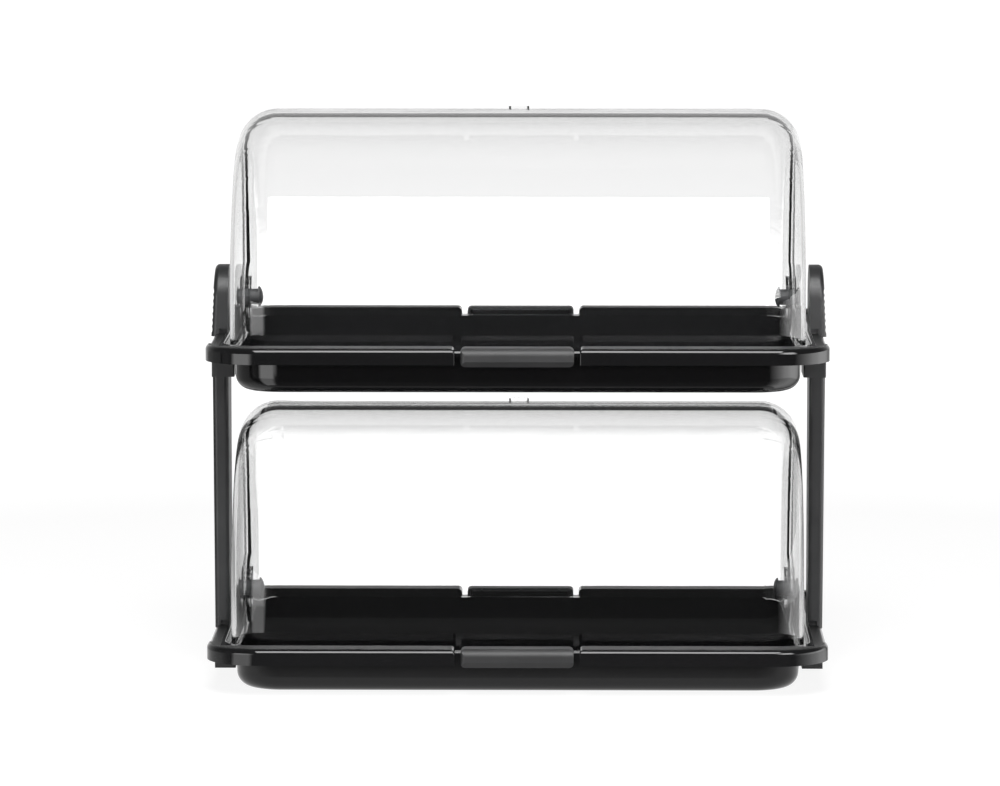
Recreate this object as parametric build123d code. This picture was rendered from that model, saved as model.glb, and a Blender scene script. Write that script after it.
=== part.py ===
"""Two-tier countertop bread display with clear roll-top lids.

Frame: millimetres, +X to the right, +Y to the back, +Z up. The origin is the middle of the
footprint, in the plane that the lower tray and the two feet stand on.
"""
import os
from math import hypot, radians, tan

from build123d import *

os.makedirs("parts", exist_ok=True)

# ---------------------------------------------------------------- driving dimensions

# Tray, from the well outwards
well_width = 396.6
well_depth = 257.0
well_corner_radius = 31.5
well_bottom_radius = 8.5
well_draft_deg = 2.0
tray_height = 35.0
tray_wall = 2.5
tray_corner_radius = 38.0
skirt_height = 11.6
rim_width = 20.0
rim_edge_radius = 4.0
rim_end_radius = 3.5
rim_end_edge_radius = 1.0

# Seat that the lids stand on, sunk into the rim
seat_side_margin = 8.0
seat_end_margin = 11.5
seat_corner_radius = 22.0
seat_drop = 5.0
seat_edge_radius = 1.2

# Lowered ledge along each side of the tray, outside a narrow raised bead
bead_width = 3.2
ledge_width = 6.5
ledge_drop = 3.5
ledge_front_margin = 25.0
ledge_corner_radius = 20.0
ledge_corner_inset = 2.0
ledge_corner_length = 18.0

# Grips in the front and rear rim
grip_width = 79.5
grip_gap = 4.0
grip_wall = 2.0
grip_below_skirt = 1.5
grip_edge_radius = 5.5
grip_upright = 3.8
grip_tuck = 1.8
grip_end_radius = 3.5
grip_reveal = 0.7
grip_rib_thickness = 1.4
grip_rib_margin = 6.5
grip_rib_drop = 0.7
grip_hook_reach = 2.2
grip_barb_reach = 1.4
grip_barb_height = 1.6
grip_barb_clearance = 0.1
grip_tab_margin = 4.25
grip_tab_edge_radius = 0.8

# Lids, turned about one axis that runs from side to side
pivot_above_rim = 21.2
lid_side_clearance = 2.8
lid_front_clearance = 5.96
lid_wall = 2.5
lid_corner_radius = 29.0
lid_gap = 0.8
lid_seat_clearance = 0.4
lid_ear_clearance = 0.5
front_lid_overlap_deg = 2.5
rear_lid_overlap_deg = 5.0
dimple_radius = 10.0
dimple_depth = 3.1
dimple_side_gap = 0.5
dimple_floor_gap = 0.6
lid_lip_height = 1.8
lid_lip_thickness = 2.0
lid_lip_end_margin = 6.5
lid_tab_width = 14.5
lid_tab_reach = 8.0
lid_tab_thickness = 2.0

# Pivots
pivot_head_radius = 7.3
pivot_head_thickness = 1.6
pivot_head_rounding = 0.5
pivot_head_clearance = 0.3
pivot_pin_radius = 3.0
pivot_pin_engagement = 2.4
pivot_bush_radius = 5.5
pivot_bush_stand_off = 4.8
pivot_running_clearance = 0.05
pivot_cap_edge = 1.2
pivot_cap_height = 4.0
pivot_cap_hole_spare = 0.1

# Side struts: overhangs are measured outwards from the edge of the tray
tier_gap = 18.0
strut_gap = 0.2
strut_overhang_at_foot = 0.2
strut_overhang_at_top = 1.2
strut_depth = 42.0
strut_edge_radius = 3.0
strut_rim_clearance = 0.1
strut_hook_drop = 2.0
tongue_inset = 1.2
tongue_shoulder = 7.0
tongue_clearance = 0.2
tongue_above_recess = 4.5
upper_tongue_length = 18.0
block_gap = 4.7
block_edge_radius = 1.0
block_neck_chamfer = 1.7
foot_overhang = 0.6
tray_block_overhang = 1.8
paddle_spread = 1.0
paddle_above_pivot = 23.8
paddle_overhang_at_base = 2.0
paddle_overhang_at_top = -0.4
paddle_edge_radius = 3.5
scallop_count = 7
scallop_pitch = 4.6
scallop_depth = 0.6
scallop_start = 3.0
notch_width = 5.2
notch_height = 3.6
notch_depth = 3.0

# Foot screws
screw_spacing = 18.0
screw_shank_radius = 1.5
screw_shank_length = 16.0
screw_hole_clearance = 0.2
screw_head_radius = 3.0
screw_head_height = 2.2
screw_head_rounding = 0.6
screw_recess_clearance = 0.5
screw_recess_depth = 4.0
screw_socket_radius = 1.25
screw_socket_depth = 1.2

# ---------------------------------------------------------------- sizes worked out from them

seat_width = well_width + 2 * seat_side_margin
seat_depth = well_depth + 2 * seat_end_margin
bead_outer = seat_width / 2 + bead_width
ledge_edge = bead_outer + ledge_width
tray_width = 2 * (ledge_edge + rim_edge_radius)
tray_depth = seat_depth + 2 * rim_width
skirt_bottom = tray_height - skirt_height
seat_level = tray_height - seat_drop
ledge_level = tray_height - ledge_drop
ledge_underside = ledge_level - tray_wall
ledge_front = tray_depth / 2 - ledge_front_margin
above_rim = tray_height + seat_drop
below_skirt = skirt_bottom - tray_wall

tab_face = seat_depth / 2 + tray_wall
tab_top = tray_height - grip_wall
tab_half = grip_width / 2 - grip_tab_margin
opening_half = grip_width / 2 + grip_gap

pivot_level = tray_height + pivot_above_rim
lid_bottom = seat_level + lid_seat_clearance - pivot_level
ear_radius = -lid_bottom - lid_ear_clearance
front_lid_radius = hypot(seat_depth / 2 - lid_front_clearance, lid_bottom)
front_lid_end = seat_width / 2 - lid_side_clearance
lid_lip_half = front_lid_end - lid_corner_radius - lid_lip_end_margin
lid_reach = front_lid_radius + lid_wall + tray_height
rear_lid_end = front_lid_end - lid_wall - lid_gap
rear_lid_radius = front_lid_radius - lid_wall - lid_gap
front_dimple_floor = front_lid_end - dimple_depth
rear_dimple_floor = front_dimple_floor - lid_wall - dimple_floor_gap
rear_dimple_radius = dimple_radius + lid_wall + dimple_side_gap
bush_outer_end = front_dimple_floor + pivot_head_clearance
bush_inner_end = rear_dimple_floor - lid_wall - pivot_bush_stand_off

tier_pitch = pivot_level + front_lid_radius + lid_lip_height + tier_gap
strut_inner = bead_outer + strut_gap
strut_top = tier_pitch + pivot_level + paddle_above_pivot
tongue_inner = strut_inner + tongue_inset
tongue_outer = ledge_edge - strut_rim_clearance
tongue_depth = strut_depth - 2 * tongue_shoulder
tongue_bottom = screw_recess_depth + tongue_above_recess
block_inner = well_width / 2 + tray_wall + block_gap
paddle_base = tier_pitch + ledge_level
paddle_foot = paddle_base - strut_hook_drop
paddle_depth = strut_depth + 2 * paddle_spread


# ---------------------------------------------------------------- helpers

def rounded_block(width, depth, radius, bottom, top):
    """Upright block with rounded corners in plan, centred on the Z axis."""
    return Pos(0, 0, bottom) * extrude(RectangleRounded(width, depth, radius), top - bottom)


def span(x0, x1, y0, y1, z0, z1):
    """Box between two corners."""
    box = Box(abs(x1 - x0), abs(y1 - y0), abs(z1 - z0))
    return Pos((x0 + x1) / 2, (y0 + y1) / 2, (z0 + z1) / 2) * box


def disc(radius, x0, x1):
    """Cylinder on the pivot axis between x0 and x1."""
    return Pos((x0 + x1) / 2, 0, pivot_level) * Rot(0, 90, 0) * Cylinder(radius, abs(x1 - x0))


def discs(radius, x0, x1):
    """The same cylinder at both ends of the pivot axis."""
    return disc(radius, x0, x1) + disc(radius, -x0, -x1)


def across(face, x0, x1):
    """Prism along X, between x0 and x1, of a face drawn in (y, z)."""
    return extrude(Plane.YZ.offset(x0) * face, x1 - x0)


def fore_and_aft(face, half):
    """Prism along Y, from -half to +half, of a face drawn in (x, z)."""
    return extrude(Plane.XZ * face, half, both=True)


def left_of(shape):
    """Mirror image on the left-hand side."""
    return mirror(shape, about=Plane.YZ)


def rear_of(shape):
    """The same piece turned half round, for the rear of the tray."""
    return Rot(0, 0, 180) * shape


# ---------------------------------------------------------------- tray

def ledge_space(grow):
    """Space above both side ledges. With grow it is the same space a wall thickness lower."""
    level = ledge_level - grow
    inner = bead_outer - grow
    outer = tray_width / 2 - grow
    edge = ledge_edge
    shoulder = level - (outer - edge)
    beyond = tray_width / 2 + rim_edge_radius
    line = Polyline((edge, level), (inner, level), (inner, above_rim), (beyond, above_rim),
                    (beyond, shoulder), (outer, shoulder))
    corner = RadiusArc((outer, shoulder), (edge, level), edge - outer)
    straight = fore_and_aft(make_face(line + corner), ledge_front - ledge_corner_length)
    pocket_half = tray_width / 2 - ledge_corner_inset + grow
    pocket = rounded_block(2 * pocket_half, 2 * (ledge_front + grow), ledge_corner_radius + grow,
                           level, above_rim)
    pocket &= span(inner, tray_width, -tray_depth, tray_depth, level, above_rim)
    right = straight + pocket
    return right + left_of(right)


def rim_hollow():
    """Hollow under the rim, closed off on both sides of each grip opening."""
    wall = tray_wall
    hollow = rounded_block(tray_width - 2 * wall, tray_depth - 2 * wall, tray_corner_radius - wall,
                           below_skirt, tray_height - wall)
    hollow -= ledge_space(wall)
    hollow -= rounded_block(seat_width + 2 * wall, seat_depth + 2 * wall, seat_corner_radius + wall,
                            seat_level - wall, above_rim)
    inner = seat_depth / 2
    outer = tray_depth / 2
    for side in (-1, 1):
        for end in (-1, 1):
            hollow -= span(side * opening_half, side * (opening_half + wall), end * inner, end * outer,
                           below_skirt, above_rim)
    return hollow


def grip_opening():
    """Gap in the front rim for a grip, with rounded rim ends and a low tab left behind it."""
    half = opening_half
    shoulder = tray_height - rim_end_radius
    wide = half + rim_end_radius
    line = Polyline((half, shoulder), (half, below_skirt), (-half, below_skirt), (-half, shoulder))
    right = RadiusArc((half, shoulder), (wide, tray_height), rim_end_radius)
    left = RadiusArc((-wide, tray_height), (-half, shoulder), rim_end_radius)
    over = Polyline((wide, tray_height), (wide, above_rim), (-wide, above_rim), (-wide, tray_height))
    gap = fore_and_aft(make_face(line + right + left + over), tray_depth)
    inner = seat_depth / 2 - seat_edge_radius
    opening = gap & span(-wide, wide, -tray_depth, -tab_face, below_skirt, above_rim)
    opening += gap & span(-wide, wide, -tab_face, -inner, seat_level, above_rim)
    tab = span(-tab_half, tab_half, -tab_face, -seat_depth / 2, seat_level, tab_top)
    inner_edges = tab.faces().sort_by(Axis.Y)[-1].edges()
    free_edges = inner_edges.filter_by(lambda edge: edge.center().Z > seat_level)
    return opening - fillet(free_edges, grip_tab_edge_radius)


def at_rim_end(edge):
    """Whether an edge lies where the outer face of the rim meets a grip opening."""
    centre = edge.center()
    gap = hypot(abs(centre.X) - opening_half, abs(centre.Y) - tray_depth / 2)
    return gap < rim_end_edge_radius


def tray():
    """Moulded tray: deep well, sunk seat, down-turned rim and a lowered ledge on each side."""
    rim = rounded_block(tray_width, tray_depth, tray_corner_radius, skirt_bottom, tray_height)
    rim = fillet(rim.edges().group_by(Axis.Z)[-1], rim_edge_radius)
    rim -= rounded_block(seat_width, seat_depth, seat_corner_radius, seat_level, above_rim)
    seat_edge = rim.faces().sort_by(Axis.Z)[-1].inner_wires()[0].edges()
    rim = fillet(seat_edge, seat_edge_radius)
    rim -= ledge_space(0)
    rim -= rim_hollow()
    body = Pos(0, 0, seat_level) * extrude(
        RectangleRounded(well_width + 2 * tray_wall, well_depth + 2 * tray_wall,
                         well_corner_radius + tray_wall),
        seat_level, dir=(0, 0, -1), taper=well_draft_deg)
    body = fillet(body.edges().group_by(Axis.Z)[0], well_bottom_radius + tray_wall)
    well = Pos(0, 0, seat_level) * extrude(
        RectangleRounded(well_width, well_depth, well_corner_radius),
        seat_level - tray_wall, dir=(0, 0, -1), taper=well_draft_deg)
    well = fillet(well.edges().group_by(Axis.Z)[0], well_bottom_radius)
    shell = rim + body - well
    opening = grip_opening()
    shell = shell - opening - rear_of(opening)
    rim_ends = shell.edges().filter_by(Axis.Z).filter_by(at_rim_end)
    shell = fillet(rim_ends, rim_end_edge_radius)
    slot_half = tongue_depth / 2 + tongue_clearance
    slot = span(tongue_inner - tongue_clearance, tongue_outer + tongue_clearance,
                -slot_half, slot_half, skirt_bottom, above_rim)
    return shell - slot - left_of(slot)


def grip_section(offset):
    """Section of the front grip in (y, z). With an offset it is the space inside the shell."""
    face = offset - tray_depth / 2
    top = tray_height - offset
    radius = grip_edge_radius - offset
    back = 2 * offset - tab_face - grip_reveal
    knee = tray_height - grip_edge_radius - grip_upright
    foot = skirt_bottom - grip_below_skirt
    line = Polyline((face + radius, top), (back, top), (back, foot), (face + grip_tuck, foot),
                    (face, knee), (face, top - radius))
    return make_face(line + RadiusArc((face, top - radius), (face + radius, top), radius))


def grip():
    """Front grip: a hollow cap with three ribs that clip over and under the tab of the tray."""
    half = grip_width / 2
    foot = skirt_bottom - grip_below_skirt
    outline = RectangleRounded(grip_width, tray_height - foot, grip_end_radius)
    shell = across(grip_section(0), -half, half)
    shell &= fore_and_aft(Pos(0, (foot + tray_height) / 2) * outline, tray_depth)
    shell &= rounded_block(grip_width, tray_depth, grip_end_radius, foot, tray_height)
    shell -= across(grip_section(grip_wall), grip_wall - half, half - grip_wall)
    seat_underside = seat_level - tray_wall
    barb_top = seat_underside - grip_barb_clearance
    barb_foot = barb_top - grip_barb_height
    hook_top = tray_height - grip_rib_drop
    rib_place = tab_half - grip_rib_margin
    for x in (-rib_place, 0, rib_place):
        x0 = x - grip_rib_thickness / 2
        x1 = x + grip_rib_thickness / 2
        plate = across(grip_section(grip_wall / 2), x0, x1)
        shell += plate & span(x0, x1, -tray_depth / 2, -tab_face, barb_foot, tray_height)
        shell += span(x0, x1, -tab_face - grip_wall, grip_hook_reach - tab_face, tab_top, hook_top)
        barb = Polyline((-tab_face - grip_wall, barb_top), (grip_barb_reach - tab_face, barb_top),
                        (-tab_face, barb_foot), (-tab_face - grip_wall, barb_foot), close=True)
        shell += across(make_face(barb), x0, x1)
    return shell


# ---------------------------------------------------------------- lids

def turned(half_width, radius, corner):
    """Solid of revolution about the pivot axis, with rounded ends."""
    half = Rectangle(2 * half_width, radius, align=(Align.CENTER, Align.MIN))
    corners = half.vertices().group_by(Axis.Y)[-1]
    return Pos(0, 0, pivot_level) * revolve(fillet(corners, corner), Axis.X, 360)


def lid_sector(sign, overlap_deg):
    """Space that one lid fills: from its bottom edge round to just past the crown."""
    edge = -sign * lid_reach * tan(radians(overlap_deg))
    points = [(0, lid_bottom), (sign * lid_reach, lid_bottom), (sign * lid_reach, lid_reach),
              (edge, lid_reach), (0, 0)]
    face = Pos(0, pivot_level) * make_face(Polyline(*points, close=True))
    half = tray_width / 2
    return across(face, -half, half) + disc(ear_radius, -half, half)


def lid_shell(end, radius, corner, dimple, floor, hole_radius):
    """Full round shell, dimpled at both ends of the axis around the hole for the pivot."""
    shell = turned(end, radius, corner)
    shell -= turned(end - lid_wall, radius - lid_wall, corner - lid_wall)
    shell += discs(dimple + lid_wall, floor - lid_wall, end)
    shell -= discs(dimple, floor, end + lid_wall)
    return shell - discs(hole_radius, floor - 2 * lid_wall, end)


def front_lid():
    """Outer lid, with a low lip and a thumb tab along its upper edge."""
    hole = pivot_bush_radius + pivot_running_clearance
    shell = lid_shell(front_lid_end, front_lid_radius, lid_corner_radius, dimple_radius,
                      front_dimple_floor, hole)
    shell &= lid_sector(-1, front_lid_overlap_deg)
    crest = front_lid_radius + lid_lip_height
    root = front_lid_radius - lid_wall / 2
    lip = span(-lid_lip_half, lid_lip_half, -lid_lip_thickness, 0, root, crest)
    half = lid_tab_width / 2
    tab = span(-half, half, -lid_lip_thickness, lid_tab_reach, crest - lid_tab_thickness, crest)
    tab = fillet(tab.edges().filter_by(Axis.Z).group_by(Axis.Y)[-1], lid_tab_reach / 2)
    lean = Pos(0, 0, pivot_level) * Rot(-front_lid_overlap_deg, 0, 0)
    return shell + lean * (lip + tab)


def rear_lid():
    """Inner lid, which carries the pivots."""
    corner = lid_corner_radius - lid_wall - lid_gap
    shell = lid_shell(rear_lid_end, rear_lid_radius, corner, rear_dimple_radius,
                      rear_dimple_floor, pivot_bush_radius)
    return shell & lid_sector(1, rear_lid_overlap_deg)


# ---------------------------------------------------------------- pivots

def pivot_pin():
    """Right-hand pin: flat outer head and a shank through the bush into the cap."""
    head = disc(pivot_head_radius, bush_outer_end, bush_outer_end + pivot_head_thickness)
    head = fillet(head.edges().sort_by(Axis.X)[-1], pivot_head_rounding)
    return head + disc(pivot_pin_radius, bush_inner_end - pivot_pin_engagement, bush_outer_end)


def pivot_bush():
    """Right-hand bush, seated in the rear lid, that the front lid turns on."""
    bore = disc(pivot_pin_radius, bush_inner_end, bush_outer_end)
    return disc(pivot_bush_radius, bush_inner_end, bush_outer_end) - bore


def pivot_cap():
    """Right-hand domed cap pressed on the end of the pin."""
    rise = pivot_cap_height - pivot_cap_edge
    dome_radius = (pivot_head_radius ** 2 + rise ** 2) / (2 * rise)
    line = Polyline((-pivot_cap_height, 0), (0, 0), (0, pivot_head_radius),
                    (-pivot_cap_edge, pivot_head_radius))
    arc = RadiusArc((-pivot_cap_height, 0), (-pivot_cap_edge, pivot_head_radius), dome_radius)
    dome = Pos(bush_inner_end, 0, pivot_level) * revolve(make_face(line + arc), Axis.X, 360)
    hole_end = bush_inner_end - pivot_pin_engagement - pivot_cap_hole_spare
    return dome - disc(pivot_pin_radius, hole_end, bush_inner_end)


# ---------------------------------------------------------------- side struts

def upright(bottom, top, outer_bottom, outer_top, half):
    """Right-hand upright between two levels, with a leaning outer face."""
    points = [(strut_inner, bottom), (tray_width / 2 + outer_bottom, bottom),
              (tray_width / 2 + outer_top, top), (strut_inner, top)]
    return fore_and_aft(make_face(Polyline(*points, close=True)), half)


def rim_space(level):
    """Space that a tray ledge and its rounded edge take up under an upright."""
    outer = tray_width / 2 + strut_rim_clearance
    radius = rim_edge_radius + strut_rim_clearance
    edge = outer - radius
    low = level - 2 * radius
    line = Polyline((edge, level), (seat_width / 2, level), (seat_width / 2, low), (outer, low),
                    (outer, level - radius))
    arc = RadiusArc((outer, level - radius), (edge, level), -radius)
    return fore_and_aft(make_face(line + arc), paddle_depth)


def notch(level, half):
    """Small notch in the front foot of an upright."""
    return span(tongue_inner, tongue_inner + notch_width, -half, notch_depth - half,
                level, level + notch_height)


def tongue(bottom, top, clearance):
    """Flat tongue that passes through the slot of a ledge, or the slot itself."""
    half = tongue_depth / 2 + clearance
    return span(tongue_inner - clearance, tongue_outer + clearance, -half, half, bottom, top)


def at_screws(shape):
    """A shape at both screw places of the right-hand foot."""
    x = (tongue_inner + tongue_outer) / 2
    return [Pos(x, y, 0) * shape for y in (-screw_spacing / 2, screw_spacing / 2)]


def column(radius, bottom, top):
    """Upright cylinder on the Z axis."""
    return Pos(0, 0, (bottom + top) / 2) * Cylinder(radius, top - bottom)


def strut():
    """Right-hand strut between the trays, with a tongue at each end."""
    half = strut_depth / 2
    blade = upright(ledge_level - strut_hook_drop, tier_pitch, strut_overhang_at_foot,
                    strut_overhang_at_top, half)
    blade = fillet(blade.edges().filter_by(lambda edge: edge.length > tier_pitch / 2), strut_edge_radius)
    blade = blade - rim_space(ledge_level) - notch(ledge_level, half)
    blade += tongue(tongue_bottom, ledge_level, 0)
    blade += tongue(tier_pitch, paddle_base + upper_tongue_length, 0)
    for pilot in at_screws(column(screw_shank_radius, 0, screw_recess_depth + screw_shank_length)):
        blade -= pilot
    return blade


def block(overhang):
    """Right-hand block under a ledge, stepped to fit inside the skirt of the tray."""
    half = strut_depth / 2
    low = span(block_inner, tray_width / 2 + overhang, -half, half, 0, skirt_bottom)
    low = fillet(low.edges().filter_by(Axis.Z), block_edge_radius)
    side = tray_width / 2 - tray_wall - tongue_clearance
    bevel = block_neck_chamfer
    points = [(strut_inner, skirt_bottom), (side, skirt_bottom), (side, ledge_underside - bevel),
              (side - bevel, ledge_underside), (strut_inner, ledge_underside)]
    return low + fore_and_aft(make_face(Polyline(*points, close=True)), half)


def foot():
    """Block under the lower tray, screwed to the tongue of the strut."""
    solid = block(foot_overhang) - tongue(tongue_bottom, ledge_level, tongue_clearance)
    recess = column(screw_head_radius + screw_recess_clearance, 0, screw_recess_depth)
    passage = column(screw_shank_radius + screw_hole_clearance, screw_recess_depth, tongue_bottom)
    for hole in at_screws(recess) + at_screws(passage):
        solid -= hole
    return solid


def tray_block():
    """Block that carries the upper tray on the shoulders of the strut."""
    solid = block(tray_block_overhang) - tongue(0, ledge_level, tongue_clearance)
    return Pos(0, 0, tier_pitch) * solid


def top_paddle():
    """Round-topped paddle pressed on the upper tongue, scalloped on its outer face."""
    half = paddle_depth / 2
    shoulder = strut_top - half
    line = Polyline((-half, shoulder), (-half, paddle_foot), (half, paddle_foot), (half, shoulder))
    arch = ThreePointArc((half, shoulder), (0, strut_top), (-half, shoulder))
    solid = upright(paddle_foot, strut_top, paddle_overhang_at_base, paddle_overhang_at_top, half)
    solid &= across(make_face(line + arch), strut_inner, tray_width)
    outer_edges = solid.faces().sort_by(Axis.X)[-1].edges()
    rounded = outer_edges.filter_by(lambda edge: edge.center().Z > paddle_base)
    solid = fillet(rounded, paddle_edge_radius)
    solid = solid - rim_space(paddle_base) - notch(paddle_base, half)
    solid -= tongue(tier_pitch, paddle_base + upper_tongue_length, 0)
    radius = (scallop_pitch ** 2 / 4 + scallop_depth ** 2) / (2 * scallop_depth)
    lean = (paddle_overhang_at_top - paddle_overhang_at_base) / (strut_top - paddle_foot)
    for i in range(scallop_count):
        level = paddle_base + scallop_start + i * scallop_pitch
        outer = tray_width / 2 + paddle_overhang_at_base + lean * (level - paddle_foot)
        centre = outer + radius - scallop_depth
        solid -= Pos(centre, 0, level) * Rot(90, 0, 0) * Cylinder(radius, paddle_depth)
    return solid


def foot_screw():
    """Screw of a foot, head down in its recess."""
    head = column(screw_head_radius, screw_recess_depth - screw_head_height, screw_recess_depth)
    head = fillet(head.edges().sort_by(Axis.Z)[0], screw_head_rounding)
    shank = column(screw_shank_radius, screw_recess_depth, screw_recess_depth + screw_shank_length)
    socket = extrude(RegularPolygon(screw_socket_radius, 6), screw_socket_depth)
    return head + shank - Pos(0, 0, screw_recess_depth - screw_head_height) * socket


# ---------------------------------------------------------------- assembly

nodes = {}
tray_shape = tray()
grip_shape = grip()
lids = {"front_lid": front_lid(), "rear_lid": rear_lid()}
pivots = {"pivot_pin": pivot_pin(), "pivot_bush": pivot_bush(), "pivot_cap": pivot_cap()}
for tier, lift in (("lower", 0), ("upper", tier_pitch)):
    place = Pos(0, 0, lift)
    nodes[f"{tier}_tray"] = place * tray_shape
    nodes[f"{tier}_front_grip"] = place * grip_shape
    nodes[f"{tier}_rear_grip"] = place * rear_of(grip_shape)
    for name, shape in lids.items():
        nodes[f"{tier}_{name}"] = place * shape
    for name, shape in pivots.items():
        nodes[f"{tier}_right_{name}"] = place * shape
        nodes[f"{tier}_left_{name}"] = place * left_of(shape)

uprights = {"strut": strut(), "foot": foot(), "tray_block": tray_block(), "top_paddle": top_paddle()}
for name, shape in uprights.items():
    nodes[f"right_{name}"] = shape
    nodes[f"left_{name}"] = left_of(shape)

screws = at_screws(foot_screw())
nodes["foot_screws"] = Compound(children=screws + [left_of(screw) for screw in screws])

for node, shape in nodes.items():
    export_step(shape, f"parts/{node}.step")
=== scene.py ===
"""Finish, light and camera of the two-tier bread display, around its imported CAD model."""
import math

import bpy
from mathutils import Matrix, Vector

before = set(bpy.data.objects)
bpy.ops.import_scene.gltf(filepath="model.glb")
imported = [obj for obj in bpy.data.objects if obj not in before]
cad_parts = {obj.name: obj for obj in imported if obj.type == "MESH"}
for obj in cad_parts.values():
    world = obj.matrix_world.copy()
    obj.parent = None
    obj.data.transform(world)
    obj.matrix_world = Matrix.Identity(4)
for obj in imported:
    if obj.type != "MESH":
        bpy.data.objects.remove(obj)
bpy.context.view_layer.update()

# Lengths and places are in metres, colours are linear and scales are in cycles per metre.
# A radiance of 1 is white.

# ---------------------------------------------------------------- camera, fitted to the trays' rims

CAMERA_PLACE = (0.0357, -4.2986, 0.6784)
CAMERA_PITCH_DEG = 6.367
CAMERA_YAW_DEG = 0.659
CAMERA_REACH = 100
FOCAL_LENGTH_PX = 5960.6
IMAGE_WIDTH_PX = 1000
SENSOR_WIDTH_MM = 36

# ---------------------------------------------------------------- looks

# Most of the noise lies between these two values
NOISE_RANGE = (0.3, 0.7)

# Moulded plastics: the shares by which colour and roughness stray from their middle values
MOTTLING = 0.15
ROUGHNESS_SPREAD = 0.15
MOTTLING_SCALE = 45

# Gloss black trays, with a faint haze and faint ripples
TRAY_BLACK = (0.0075, 0.0075, 0.0079)
TRAY_IOR = 1.42
TRAY_ROUGHNESS = (0.03, 0.06)
TRAY_HAZE_SCALE = 30
TRAY_RIPPLE_SCALE = 55
TRAY_RIPPLE_DEPTH = 0.00012

# Their pebbled flats: what looks up, beyond these distances from the middle of a tray
SIDE_FLAT_START = 0.2095
END_FLAT_START = 0.1405
FLAT_NORMAL_Z = (0.8, 0.95)
FLAT_ROUGHNESS = 0.38
PEBBLE_SCALE = 900.0
PEBBLE_DEPTH = 0.0005

# Clear lids
LID_IOR = 1.49
LID_WAVE_SCALE = 22
LID_WAVE_DEPTH = 0.0001
LID_SHADOW_TINT = (0.93, 0.94, 0.94)
LID_ABSORPTION = 9

# Plated screws
STEEL = (0.55, 0.55, 0.56)
STEEL_ROUGHNESS = (0.25, 0.45)
STEEL_GRAIN_SCALE = 4000

# ---------------------------------------------------------------- studio

# White for the eye, what is added to it through the lids, and the world as a light
WHITE = 1.12
THROUGH_LIDS = 0.4
DIM = 0.04

# In the world, what is added fades out upwards between these angles from the horizon
THROUGH_LIDS_FADE_DEG = (-5.2, -4.4)

# The world in gloss and through the lids: a wall that fades upwards between these angles
WALL_FADE_DEG = (2, 40)
CEILING_SHARE = 0.25

# In gloss the wall also fades towards the sides and the front, by the angle from the back
SIDE_FADE_DEG = (8, 70)
SIDE_SHARE = 0.2
FRONT_FADE_DEG = (110, 130)
FRONT_SHARE = 0.03

# Floor
FLOOR_HALF = 6.0
FLOOR_FRONT = -0.43
FLOOR_BACK = 1.6
FLOOR_COLOUR = (0.85, 0.85, 0.85)
FLOOR_ROUGHNESS = 0.9

# Near the object the eye sees this share of the floor as white and the rest as the lamps light it,
# which keeps the shadow. The share grows to all of it between these distances from the middle
FLOOR_SHARE = 0.8
FLOOR_FADE = (0.9, 1.5)

# The floor in gloss: dark in front, up to the same share of white at the back, and less at the sides
FLOOR_BRIGHTENS = (-0.40, -0.15)
FLOOR_DARK_POWER = 4
FLOOR_LEAST_GLOSS = 0.1
FLOOR_SIDE_FADE = (0.25, 0.6)
FLOOR_SIDE_SHARE = 0.4

# The height that the lamps aim at
LAMP_AIM = 0.2

# Cards that only gloss sees. They are swept round an upright line near a front corner of the trays,
# each along a profile of (reach from that line, level)
CARD_CORNER = (0.185, -0.13)
CARD_REACH = 0.9
CARD_STEP_DEG = 10
LOW_CARD = ((0.12, 0.002), (CARD_REACH, 0.002), (CARD_REACH, 0.3))
LOW_CARD_RADIANCES = (2.6, 4.2)
HIGH_CARD = ((CARD_REACH, 0.34), (CARD_REACH, 0.9))
HIGH_CARD_RADIANCES = (12,)

# ---------------------------------------------------------------- names of the CAD nodes

TIERS = ("lower", "upper")
SIDES = ("left", "right")
ENDS = ("front", "rear")

trays = [f"{tier}_tray" for tier in TIERS]
grips = [f"{tier}_{end}_grip" for tier in TIERS for end in ENDS]
lids = [f"{tier}_{end}_lid" for tier in TIERS for end in ENDS]
pivots = [f"{tier}_{side}_pivot_{part}" for tier in TIERS for side in SIDES
          for part in ("pin", "bush", "cap")]
supports = [f"{side}_{part}" for side in SIDES
            for part in ("strut", "foot", "tray_block", "top_paddle")]


# ---------------------------------------------------------------- node helpers

def new_material(name):
    """A new material, its node tree and its Principled shader."""
    material = bpy.data.materials.new(name)
    material.use_nodes = True
    tree = material.node_tree
    return material, tree, tree.nodes["Principled BSDF"]


def node(tree, kind, **values):
    """A new node, with its settings or its sockets set by name."""
    made = tree.nodes.new(kind)
    for name, value in values.items():
        if hasattr(made, name):
            setattr(made, name, value)
        else:
            made.inputs[name.replace("_", " ")].default_value = value
    return made


def radians(degrees):
    """Angles in radians."""
    return [math.radians(angle) for angle in degrees]


def calc(tree, operation, *values):
    """The result of one operation on numbers and sockets."""
    made = node(tree, "ShaderNodeMath", operation=operation)
    for socket, value in zip(made.inputs, values):
        if isinstance(value, bpy.types.NodeSocket):
            tree.links.new(value, socket)
        else:
            socket.default_value = value
    return made.outputs[0]


def product(tree, first, *others):
    """The product of numbers and sockets."""
    for other in others:
        first = calc(tree, "MULTIPLY", first, other)
    return first


def largest(tree, first, *others):
    """The largest of numbers and sockets."""
    for other in others:
        first = calc(tree, "MAXIMUM", first, other)
    return first


def remap(tree, source, low, high, from_low=NOISE_RANGE[0], from_high=NOISE_RANGE[1]):
    """A value stretched from one range to another, and held at both ends."""
    made = node(tree, "ShaderNodeMapRange", From_Min=from_low, From_Max=from_high, To_Min=low, To_Max=high)
    tree.links.new(source, made.inputs["Value"])
    return made.outputs["Result"]


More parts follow.
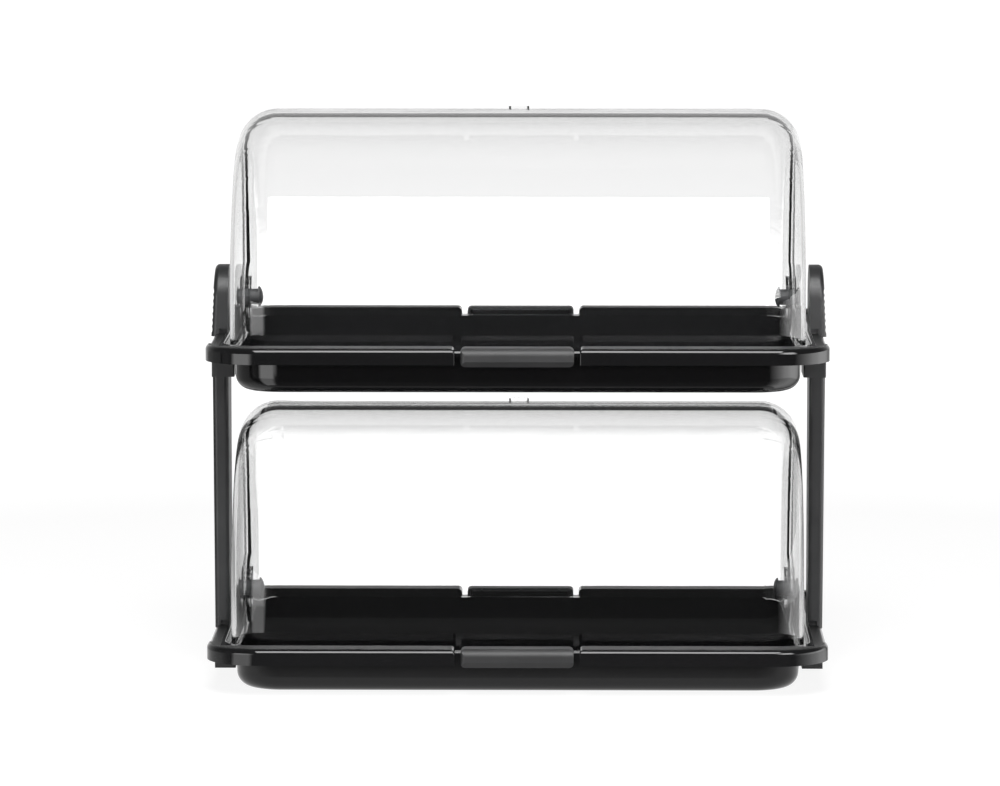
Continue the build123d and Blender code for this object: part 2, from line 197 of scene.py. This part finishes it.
def split(tree, vector):
    """The x, y and z of a vector."""
    made = node(tree, "ShaderNodeSeparateXYZ")
    tree.links.new(vector, made.inputs["Vector"])
    return made.outputs


def own_place(tree):
    """The place on the surface, in the object's own metres."""
    return node(tree, "ShaderNodeTexCoord").outputs["Object"]


def noise(tree, scale, detail=2.0):
    """Noise over the surface. One unit of scale is one cycle per metre."""
    made = node(tree, "ShaderNodeTexNoise", Scale=scale, Detail=detail, Roughness=0.5)
    tree.links.new(own_place(tree), made.inputs["Vector"])
    return made.outputs["Fac"]


def bump(tree, height, depth, under=None):
    """The normal of a relief, from a height of 0 to 1 and its full depth, over another normal or none."""
    made = node(tree, "ShaderNodeBump", Strength=1.0, Distance=depth)
    tree.links.new(height, made.inputs["Height"])
    if under is not None:
        tree.links.new(under, made.inputs["Normal"])
    return made.outputs["Normal"]


def mix_shaders(tree, factor, first, second):
    """A mix of two shaders, from all of the first at a factor of 0 to all of the second at 1."""
    made = node(tree, "ShaderNodeMixShader")
    tree.links.new(factor, made.inputs["Fac"])
    tree.links.new(first, made.inputs[1])
    tree.links.new(second, made.inputs[2])
    return made.outputs["Shader"]


def in_gloss(tree, path):
    """One for light that has been mirrored on its way to the eye, and zero for other light."""
    return calc(tree, "GREATER_THAN", path["Glossy Depth"], 0.5)


# ---------------------------------------------------------------- materials

def moulded_plastic(name, colour, roughness, grain_scale, grain_depth):
    """Moulded plastic: an even colour with a faint mottling, and a fine grain in the surface."""
    material, tree, shader = new_material(name)
    tint = node(tree, "ShaderNodeMix", data_type="RGBA", blend_type="MULTIPLY")
    tint.inputs["Factor"].default_value = 1.0
    tint.inputs["A"].default_value = (*colour, 1)
    factor = remap(tree, noise(tree, MOTTLING_SCALE, detail=3), 1 - MOTTLING, 1 + MOTTLING)
    tree.links.new(factor, tint.inputs["B"])
    tree.links.new(tint.outputs["Result"], shader.inputs["Base Color"])
    grain = noise(tree, grain_scale)
    least, most = roughness * (1 - ROUGHNESS_SPREAD), roughness * (1 + ROUGHNESS_SPREAD)
    tree.links.new(remap(tree, grain, least, most), shader.inputs["Roughness"])
    tree.links.new(bump(tree, grain, grain_depth), shader.inputs["Normal"])
    return material


def flat_mask(tree):
    """One on the level ledges and the rim tops of a tray, and zero elsewhere."""
    x, y, _ = split(tree, own_place(tree))
    beside = calc(tree, "GREATER_THAN", calc(tree, "ABSOLUTE", x), SIDE_FLAT_START)
    before = calc(tree, "GREATER_THAN", calc(tree, "ABSOLUTE", y), END_FLAT_START)
    outside = largest(tree, beside, before)
    up = split(tree, node(tree, "ShaderNodeNewGeometry").outputs["Normal"])[2]
    return product(tree, outside, remap(tree, up, 0, 1, *FLAT_NORMAL_Z))


def tray_plastic():
    """Gloss black plastic with faint ripples, and a pebbled texture on the ledges and the rim tops."""
    material, tree, shader = new_material("tray_black")
    shader.inputs["Base Color"].default_value = (*TRAY_BLACK, 1)
    shader.inputs["IOR"].default_value = TRAY_IOR
    flat = flat_mask(tree)
    rough = node(tree, "ShaderNodeMix", data_type="FLOAT", B=FLAT_ROUGHNESS)
    tree.links.new(flat, rough.inputs["Factor"])
    tree.links.new(remap(tree, noise(tree, TRAY_HAZE_SCALE, detail=4), *TRAY_ROUGHNESS), rough.inputs["A"])
    tree.links.new(rough.outputs["Result"], shader.inputs["Roughness"])
    rippled = bump(tree, noise(tree, TRAY_RIPPLE_SCALE, detail=1), TRAY_RIPPLE_DEPTH)
    pebbles = node(tree, "ShaderNodeTexVoronoi", Scale=PEBBLE_SCALE)
    tree.links.new(own_place(tree), pebbles.inputs["Vector"])
    pebbled = product(tree, pebbles.outputs["Distance"], flat)
    tree.links.new(bump(tree, pebbled, PEBBLE_DEPTH, under=rippled), shader.inputs["Normal"])
    return material


def clear_plastic():
    """Clear, faintly wavy plastic that absorbs a little light and casts a light shadow."""
    material, tree, shader = new_material("lid_clear")
    shader.inputs["Base Color"].default_value = (1, 1, 1, 1)
    shader.inputs["Roughness"].default_value = 0.0
    shader.inputs["IOR"].default_value = LID_IOR
    shader.inputs["Transmission Weight"].default_value = 1.0
    waves = bump(tree, noise(tree, LID_WAVE_SCALE, detail=1), LID_WAVE_DEPTH)
    tree.links.new(waves, shader.inputs["Normal"])
    in_shadow = node(tree, "ShaderNodeLightPath").outputs["Is Shadow Ray"]
    shadow = node(tree, "ShaderNodeBsdfTransparent", Color=(*LID_SHADOW_TINT, 1))
    surface = mix_shaders(tree, in_shadow, shader.outputs["BSDF"], shadow.outputs["BSDF"])
    inside = node(tree, "ShaderNodeVolumeAbsorption", Density=LID_ABSORPTION, Color=(0, 0, 0, 1))
    output = tree.nodes["Material Output"]
    tree.links.new(surface, output.inputs["Surface"])
    tree.links.new(inside.outputs["Volume"], output.inputs["Volume"])
    return material


def screw_steel():
    """Plated steel with a fine grain."""
    material, tree, shader = new_material("screw_steel")
    shader.inputs["Base Color"].default_value = (*STEEL, 1)
    shader.inputs["Metallic"].default_value = 1.0
    roughness = remap(tree, noise(tree, STEEL_GRAIN_SCALE), *STEEL_ROUGHNESS)
    tree.links.new(roughness, shader.inputs["Roughness"])
    return material


def dress(material, names):
    """Gives the material to CAD nodes."""
    for name in names:
        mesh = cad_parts[name].data
        mesh.materials.clear()
        mesh.materials.append(material)


dress(tray_plastic(), trays)
dress(moulded_plastic("grip_grey", colour=(0.0213, 0.0213, 0.022), roughness=0.5,
                      grain_scale=3000, grain_depth=0.00003), grips)
dress(clear_plastic(), lids)
dress(moulded_plastic("pivot_grey", colour=(0.038, 0.038, 0.0395), roughness=0.35,
                      grain_scale=3000, grain_depth=0.00001), pivots)
dress(moulded_plastic("strut_grey", colour=(0.0183, 0.0183, 0.019), roughness=0.42,
                      grain_scale=2500, grain_depth=0.00002), supports)
dress(screw_steel(), ["foot_screws"])


# ---------------------------------------------------------------- floor and world

def pale_floor():
    """A pale surface that keeps a shadow, and that the eye sees as near white, also through the lids.

    Gloss sees it at levels of its own, dark towards the front. From below it is clear."""
    material, tree, shader = new_material("floor_pale")
    shader.inputs["Base Color"].default_value = (*FLOOR_COLOUR, 1)
    shader.inputs["Roughness"].default_value = FLOOR_ROUGHNESS
    path = node(tree, "ShaderNodeLightPath").outputs
    geometry = node(tree, "ShaderNodeNewGeometry").outputs
    x, y, _ = split(tree, geometry["Position"])
    mirrored = in_gloss(tree, path)
    seen = largest(tree, path["Is Camera Ray"], path["Is Transmission Ray"])
    away = calc(tree, "SQRT", calc(tree, "ADD", product(tree, x, x), product(tree, y, y)))
    white_share = remap(tree, away, FLOOR_SHARE, 1.0, *FLOOR_FADE)
    share = largest(tree, product(tree, seen, white_share), mirrored)

    graded = calc(tree, "POWER", remap(tree, y, 0, 1, *FLOOR_BRIGHTENS), FLOOR_DARK_POWER)
    level = largest(tree, product(tree, graded, WHITE * FLOOR_SHARE), FLOOR_LEAST_GLOSS)
    aside = remap(tree, calc(tree, "ABSOLUTE", x), 1, FLOOR_SIDE_SHARE, *FLOOR_SIDE_FADE)
    mirrored_white = product(tree, level, aside)
    straight_white = calc(tree, "MULTIPLY_ADD", path["Is Transmission Ray"], THROUGH_LIDS, WHITE)
    difference = calc(tree, "SUBTRACT", mirrored_white, straight_white)
    strength = calc(tree, "MULTIPLY_ADD", mirrored, difference, straight_white)
    glow = node(tree, "ShaderNodeEmission")
    tree.links.new(strength, glow.inputs["Strength"])

    top = mix_shaders(tree, share, shader.outputs["BSDF"], glow.outputs["Emission"])
    clear = node(tree, "ShaderNodeBsdfTransparent").outputs["BSDF"]
    surface = mix_shaders(tree, geometry["Backfacing"], top, clear)
    tree.links.new(surface, tree.nodes["Material Output"].inputs["Surface"])
    return material


def stage_mesh(name, points, faces, materials):
    """A mesh that belongs to the stage and not to the object."""
    mesh = bpy.data.meshes.new(name)
    mesh.from_pydata(points, [], faces)
    for material in materials:
        mesh.materials.append(material)
    made = bpy.data.objects.new(name, mesh)
    bpy.context.scene.collection.objects.link(made)
    return made


def floor():
    """The level surface that the object stands on."""
    points = [(-FLOOR_HALF, FLOOR_FRONT, 0), (FLOOR_HALF, FLOOR_FRONT, 0),
              (FLOOR_HALF, FLOOR_BACK, 0), (-FLOOR_HALF, FLOOR_BACK, 0)]
    stage_mesh("floor", points, [(0, 1, 2, 3)], [pale_floor()])


def white_room():
    """The world: white to the eye, dim as a light, and a wall that fades upwards through the lids.

    Gloss sees the wall fade to the sides and the front as well."""
    world = bpy.data.worlds.new("studio")
    world.use_nodes = True
    tree = world.node_tree
    path = node(tree, "ShaderNodeLightPath").outputs
    x, y, z = split(tree, node(tree, "ShaderNodeTexCoord").outputs["Generated"])
    from_back = calc(tree, "ARCTAN2", calc(tree, "ABSOLUTE", x), y)
    height = calc(tree, "ARCSINE", z)
    wall = product(tree, remap(tree, height, 1, CEILING_SHARE, *radians(WALL_FADE_DEG)), WHITE)
    added = remap(tree, height, THROUGH_LIDS, 0, *radians(THROUGH_LIDS_FADE_DEG))
    beside = remap(tree, from_back, 1, SIDE_SHARE, *radians(SIDE_FADE_DEG))
    before = remap(tree, from_back, 1, FRONT_SHARE, *radians(FRONT_FADE_DEG))
    mirrored = in_gloss(tree, path)
    straight = calc(tree, "SUBTRACT", path["Is Transmission Ray"], mirrored)
    to_eye = product(tree, path["Is Camera Ray"], WHITE)
    through_lids = product(tree, straight, calc(tree, "ADD", wall, added))
    to_gloss = product(tree, mirrored, wall, beside, before)
    background = tree.nodes["Background"].inputs
    background["Color"].default_value = (1, 1, 1, 1)
    tree.links.new(largest(tree, to_eye, through_lids, to_gloss, DIM), background["Strength"])
    bpy.context.scene.world = world


# ---------------------------------------------------------------- lamps and cards

def panel(name, elevation_deg, distance, size, radiance, in_reflections=True):
    """A rectangular lamp in front of the object, aimed at its middle."""
    light = bpy.data.lights.new(name, "AREA")
    light.shape = "RECTANGLE"
    light.size, light.size_y = size
    light.energy = radiance * math.pi * size[0] * size[1]
    made = bpy.data.objects.new(name, light)
    elevation = math.radians(elevation_deg)
    away = Vector((0, -math.cos(elevation), math.sin(elevation)))
    made.location = Vector((0, 0, LAMP_AIM)) + distance * away
    made.rotation_euler = away.to_track_quat("Z", "Y").to_euler()
    made.visible_camera = False
    made.visible_transmission = False
    made.visible_glossy = in_reflections
    bpy.context.scene.collection.objects.link(made)


def card_light(name, side, start_deg, end_deg, edge_deg, radiance):
    """A surface that gives off light, and fades out towards both ends of its arc."""
    material, tree, _ = new_material(name)
    x, y, _ = split(tree, node(tree, "ShaderNodeNewGeometry").outputs["Position"])
    beyond = calc(tree, "MULTIPLY_ADD", x, side, -CARD_CORNER[0])
    before = calc(tree, "SUBTRACT", CARD_CORNER[1], y)
    azimuth = calc(tree, "ARCTAN2", beyond, before)
    rise = remap(tree, azimuth, 0, 1, *radians((start_deg, start_deg + edge_deg)))
    fall = remap(tree, azimuth, 1, 0, *radians((end_deg - edge_deg, end_deg)))
    glow = node(tree, "ShaderNodeEmission")
    tree.links.new(product(tree, rise, fall, radiance), glow.inputs["Strength"])
    tree.links.new(glow.outputs["Emission"], tree.nodes["Material Output"].inputs["Surface"])
    return material


def card(name, side, start_deg, end_deg, edge_deg, profile, radiances):
    """A bright card that only gloss sees: a profile swept round a front corner of the trays.

    The side is -1 for left and 1 for right. Angles are from the front, with a soft edge at both
    ends, and each band of the profile has a radiance of its own."""
    steps = math.ceil((end_deg - start_deg) / CARD_STEP_DEG)
    rows = len(profile)
    points = []
    for step in range(steps + 1):
        azimuth = math.radians(start_deg + (end_deg - start_deg) * step / steps)
        for reach, level in profile:
            points.append((side * (CARD_CORNER[0] + reach * math.sin(azimuth)),
                           CARD_CORNER[1] - reach * math.cos(azimuth), level))
    faces = [(first, first + 1, first + rows + 1, first + rows)
             for step in range(steps) for first in range(step * rows, step * rows + rows - 1)]
    lights = [card_light(f"{name}_{band}", side, start_deg, end_deg, edge_deg, radiance)
              for band, radiance in enumerate(radiances)]
    made = stage_mesh(name, points, faces, lights)
    for index, face in enumerate(made.data.polygons):
        face.material_index = index % len(radiances)
    for kind in ("camera", "diffuse", "transmission", "shadow", "volume_scatter"):
        setattr(made, f"visible_{kind}", False)


def studio():
    """A pale floor in a white room, a high and a low lamp in front, and three cards for the gloss."""
    floor()
    panel("softbox", elevation_deg=50, distance=2.1, size=(1.1, 1.3), radiance=12)
    panel("low_front", elevation_deg=9, distance=2.4, size=(1.6, 0.5), radiance=10, in_reflections=False)
    card("left_card", side=-1, start_deg=13, end_deg=60, edge_deg=9,
         profile=LOW_CARD, radiances=LOW_CARD_RADIANCES)
    card("right_card", side=1, start_deg=38, end_deg=150, edge_deg=45,
         profile=LOW_CARD, radiances=LOW_CARD_RADIANCES)
    card("right_fill", side=1, start_deg=8, end_deg=45, edge_deg=9,
         profile=HIGH_CARD, radiances=HIGH_CARD_RADIANCES)
    white_room()


def camera():
    """The camera, at the place and angle that the object is seen from."""
    data = bpy.data.cameras.new("camera")
    data.sensor_width = SENSOR_WIDTH_MM
    data.lens = FOCAL_LENGTH_PX * SENSOR_WIDTH_MM / IMAGE_WIDTH_PX
    data.clip_end = CAMERA_REACH
    made = bpy.data.objects.new("camera", data)
    made.location = CAMERA_PLACE
    made.rotation_euler = (math.radians(90 - CAMERA_PITCH_DEG), 0, math.radians(CAMERA_YAW_DEG))
    bpy.context.scene.collection.objects.link(made)
    bpy.context.scene.camera = made


studio()
camera()
bpy.context.scene.view_settings.view_transform = "Standard"
